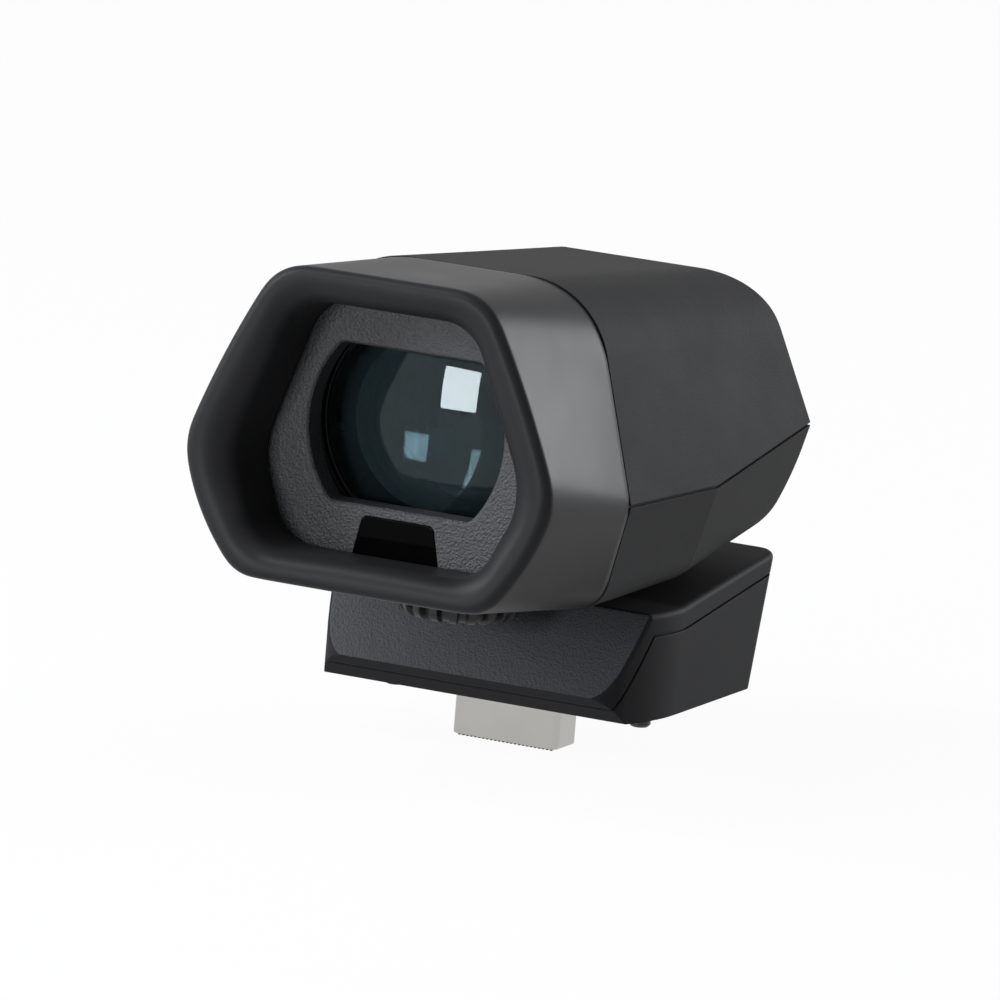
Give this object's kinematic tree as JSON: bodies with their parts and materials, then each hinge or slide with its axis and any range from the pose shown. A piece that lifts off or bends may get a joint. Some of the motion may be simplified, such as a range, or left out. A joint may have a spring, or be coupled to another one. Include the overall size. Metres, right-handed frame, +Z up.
{
  "type": "electronic viewfinder",
  "caption": "Tilting plug-in electronic viewfinder: six-sided rubber eyecup, grained eyepiece plate, dioptre dial moving a lens group, foot with plug, locating pins and captive screw",
  "frame": {"origin": "axis of the plug on the flat mount face under the foot", "axes": "+X to the right of the user, +Y forward along the line of sight, +Z up"},
  "size_m": [0.0522, 0.0821, 0.0674],
  "materials": {
    "hood_rubber": "smooth satin rubber",
    "frame_plastic": "matt black moulding",
    "plate_plastic": "coarse leather grain",
    "sensor_black": "gloss black, passes infrared",
    "circuit_board": "green solder mask",
    "component_black": "moulded black",
    "coated_glass": "blue-green coated",
    "lens_glass": "clear coated",
    "spring_steel": "bright spring steel",
    "polished_steel": "ground",
    "dial_plastic": "satin black",
    "gear_brass": "turned",
    "screw_steel": "zinc plated",
    "seal_rubber": "soft black",
    "chassis_aluminium": "black anodised edges",
    "shell_plastic": "fine spark-eroded grain",
    "screw_black": "black oxide",
    "hinge_steel": "black painted steel",
    "foot_plastic": "fine grain, coarse grain on the near panel",
    "plug_nickel": "bright nickel plate",
    "insert_plastic": "glass-filled black",
    "contact_gold": "gold plated",
    "pin_plastic": "black"
  },
  "bodies": {
    "base": {"base_cover": "foot_plastic", "base_body": "foot_plastic", "base_board": "circuit_board", "base_board_screws": "screw_steel", "base_screws": "screw_black", "plug_shell": "plug_nickel", "plug_insert": "insert_plastic", "plug_contacts": "contact_gold", "locating_pins": "pin_plastic", "hinge_barrel": "hinge_steel", "hinge_plate": "hinge_steel", "hinge_screws": "screw_steel", "screw_spring": "spring_steel"},
    "dial": {"diopter_dial": "dial_plastic", "dial_pinion": "gear_brass", "dial_screw": "screw_steel"},
    "lens_group": {"lens_carriage": "frame_plastic", "eye_lens": "coated_glass", "middle_lens": "lens_glass", "rear_lens": "lens_glass", "field_lens": "lens_glass", "eye_spacer": "frame_plastic", "middle_spacer": "frame_plastic", "field_spacer": "frame_plastic", "lens_clips": "spring_steel", "focus_rack": "gear_brass", "rack_screws": "screw_steel"},
    "screw_slider": {"screw_clip": "spring_steel"},
    "mounting_screw": {"mounting_screw": "polished_steel"},
    "head": {"eyecup": "hood_rubber", "eyepiece_frame": "frame_plastic", "eyepiece_plate": "plate_plastic", "sensor_window": "sensor_black", "sensor_board": "circuit_board", "sensor_pair": "component_black", "guide_rods": "polished_steel", "dial_bush": "gear_brass", "dial_seal": "seal_rubber", "chassis_plate": "chassis_aluminium", "light_baffle": "frame_plastic", "display_holder": "frame_plastic", "display_gasket": "seal_rubber", "display_cover_glass": "lens_glass", "display_panel": "component_black", "display_board": "circuit_board", "display_screws": "screw_steel", "main_board": "circuit_board", "board_chips": "component_black", "board_screws": "screw_steel", "top_shell": "shell_plastic", "bottom_shell": "shell_plastic", "head_screws": "screw_black", "hinge_pins": "polished_steel", "hinge_washers": "gear_brass"}
  },
  "joints": [
    {"name": "head_tilt", "type": "hinge", "parent": "base", "child": "head", "pos_m": [0, 0.021, 0.02598], "axis": [-1, 0, 0], "range_deg": [0, 70]},
    {"name": "dial_turn", "type": "hinge", "parent": "head", "child": "dial", "pos_m": [0, -0.0204, 0.015], "axis": [0, 0, 1], "range_deg": [-45, 45]},
    {"name": "lens_slide", "type": "slide", "parent": "head", "child": "lens_group", "axis": [0, 1, 0], "range_m": [-0.00236, 0.00236]},
    {"name": "screw_slide", "type": "slide", "parent": "base", "child": "screw_slider", "axis": [0, 0, -1], "range_m": [0, 0.003], "stiffness_N_per_m": 150, "springref_m": -0.002, "deforming": ["screw_spring"]},
    {"name": "screw_spin", "type": "hinge", "parent": "screw_slider", "child": "mounting_screw", "pos_m": [0, 0.0095, 0.01], "axis": [0, 0, 1], "continuous": true}
  ],
  "couplings": [
    {"joint": "dial_turn", "follows": "lens_slide", "rad_per_m": 333.33}
  ]
}
